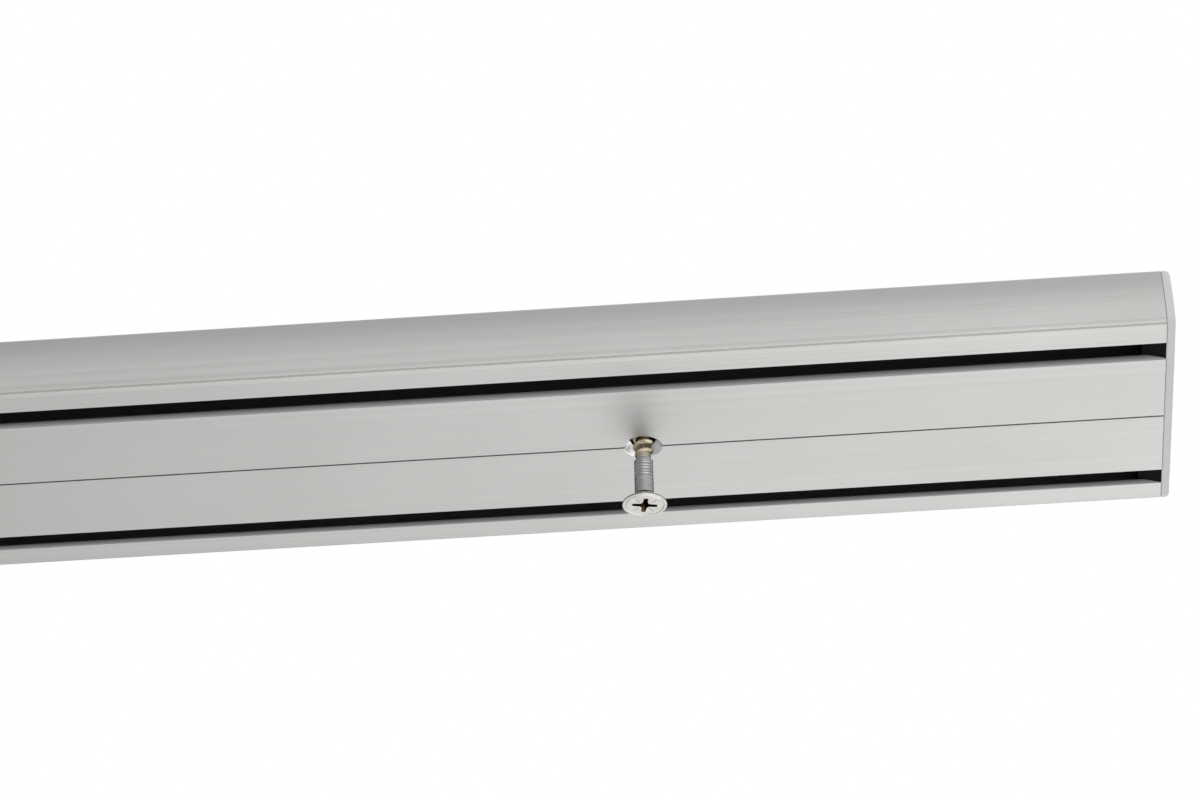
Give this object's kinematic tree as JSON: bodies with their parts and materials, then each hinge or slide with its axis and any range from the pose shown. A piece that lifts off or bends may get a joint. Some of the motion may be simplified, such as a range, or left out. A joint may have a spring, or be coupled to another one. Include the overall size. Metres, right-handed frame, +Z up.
{
  "type": "curtain track",
  "caption": "Flat ceiling curtain track with twin slotted channels, end caps, sliding gliders with eyes and a half-driven countersunk fixing screw.",
  "frame": {"origin": "middle of the flat top face that meets the ceiling", "axes": "+X along the rail towards the end that the picture shows, +Z up to the ceiling; the slots open downwards"},
  "size_m": [1.203, 0.057, 0.026],
  "materials": {
    "anodised_aluminium": "satin anodised, fine lines along the extrusion",
    "cap_plastic": "smooth moulded",
    "zinc_steel": "bright zinc plated",
    "glider_plastic": "smooth moulded"
  },
  "bodies": {
    "track": {"rail": "anodised_aluminium", "end_cap_right": "cap_plastic", "end_cap_left": "cap_plastic"},
    "fixing_screw": {"fixing_screw": "zinc_steel"},
    "front_glider_1": {"front_glider_1": "glider_plastic"},
    "front_glider_2": {"front_glider_2": "glider_plastic"},
    "front_glider_3": {"front_glider_3": "glider_plastic"},
    "front_glider_4": {"front_glider_4": "glider_plastic"},
    "front_glider_5": {"front_glider_5": "glider_plastic"},
    "front_glider_6": {"front_glider_6": "glider_plastic"},
    "front_glider_7": {"front_glider_7": "glider_plastic"},
    "front_glider_8": {"front_glider_8": "glider_plastic"},
    "rear_glider_1": {"rear_glider_1": "glider_plastic"},
    "rear_glider_2": {"rear_glider_2": "glider_plastic"},
    "rear_glider_3": {"rear_glider_3": "glider_plastic"},
    "rear_glider_4": {"rear_glider_4": "glider_plastic"},
    "rear_glider_5": {"rear_glider_5": "glider_plastic"},
    "rear_glider_6": {"rear_glider_6": "glider_plastic"},
    "rear_glider_7": {"rear_glider_7": "glider_plastic"},
    "rear_glider_8": {"rear_glider_8": "glider_plastic"}
  },
  "joints": [
    {"name": "screw_drive", "type": "slide", "parent": "track", "child": "fixing_screw", "axis": [0, 0, 1], "range_m": [0, 0.0115]},
    {"name": "front_slide_1", "type": "slide", "parent": "track", "child": "front_glider_1", "axis": [1, 0, 0], "range_m": [0, 0.135]},
    {"name": "front_slide_2", "type": "slide", "parent": "track", "child": "front_glider_2", "axis": [1, 0, 0], "range_m": [0, 0.27]},
    {"name": "front_slide_3", "type": "slide", "parent": "track", "child": "front_glider_3", "axis": [1, 0, 0], "range_m": [0, 0.405]},
    {"name": "front_slide_4", "type": "slide", "parent": "track", "child": "front_glider_4", "axis": [1, 0, 0], "range_m": [0, 0.54]},
    {"name": "front_slide_5", "type": "slide", "parent": "track", "child": "front_glider_5", "axis": [1, 0, 0], "range_m": [0, 0.675]},
    {"name": "front_slide_6", "type": "slide", "parent": "track", "child": "front_glider_6", "axis": [1, 0, 0], "range_m": [0, 0.81]},
    {"name": "front_slide_7", "type": "slide", "parent": "track", "child": "front_glider_7", "axis": [1, 0, 0], "range_m": [0, 0.945]},
    {"name": "front_lead_slide", "type": "slide", "parent": "track", "child": "front_glider_8", "axis": [1, 0, 0], "range_m": [0, 1.08]},
    {"name": "rear_slide_1", "type": "slide", "parent": "track", "child": "rear_glider_1", "axis": [1, 0, 0], "range_m": [0, 0.135]},
    {"name": "rear_slide_2", "type": "slide", "parent": "track", "child": "rear_glider_2", "axis": [1, 0, 0], "range_m": [0, 0.27]},
    {"name": "rear_slide_3", "type": "slide", "parent": "track", "child": "rear_glider_3", "axis": [1, 0, 0], "range_m": [0, 0.405]},
    {"name": "rear_slide_4", "type": "slide", "parent": "track", "child": "rear_glider_4", "axis": [1, 0, 0], "range_m": [0, 0.54]},
    {"name": "rear_slide_5", "type": "slide", "parent": "track", "child": "rear_glider_5", "axis": [1, 0, 0], "range_m": [0, 0.675]},
    {"name": "rear_slide_6", "type": "slide", "parent": "track", "child": "rear_glider_6", "axis": [1, 0, 0], "range_m": [0, 0.81]},
    {"name": "rear_slide_7", "type": "slide", "parent": "track", "child": "rear_glider_7", "axis": [1, 0, 0], "range_m": [0, 0.945]},
    {"name": "rear_lead_slide", "type": "slide", "parent": "track", "child": "rear_glider_8", "axis": [1, 0, 0], "range_m": [0, 1.08]}
  ],
  "couplings": [
    {"joint": "front_slide_1", "follows": "front_lead_slide", "ratio": 0.125},
    {"joint": "front_slide_2", "follows": "front_lead_slide", "ratio": 0.25},
    {"joint": "front_slide_3", "follows": "front_lead_slide", "ratio": 0.375},
    {"joint": "front_slide_4", "follows": "front_lead_slide", "ratio": 0.5},
    {"joint": "front_slide_5", "follows": "front_lead_slide", "ratio": 0.625},
    {"joint": "front_slide_6", "follows": "front_lead_slide", "ratio": 0.75},
    {"joint": "front_slide_7", "follows": "front_lead_slide", "ratio": 0.875},
    {"joint": "rear_slide_1", "follows": "rear_lead_slide", "ratio": 0.125},
    {"joint": "rear_slide_2", "follows": "rear_lead_slide", "ratio": 0.25},
    {"joint": "rear_slide_3", "follows": "rear_lead_slide", "ratio": 0.375},
    {"joint": "rear_slide_4", "follows": "rear_lead_slide", "ratio": 0.5},
    {"joint": "rear_slide_5", "follows": "rear_lead_slide", "ratio": 0.625},
    {"joint": "rear_slide_6", "follows": "rear_lead_slide", "ratio": 0.75},
    {"joint": "rear_slide_7", "follows": "rear_lead_slide", "ratio": 0.875}
  ]
}
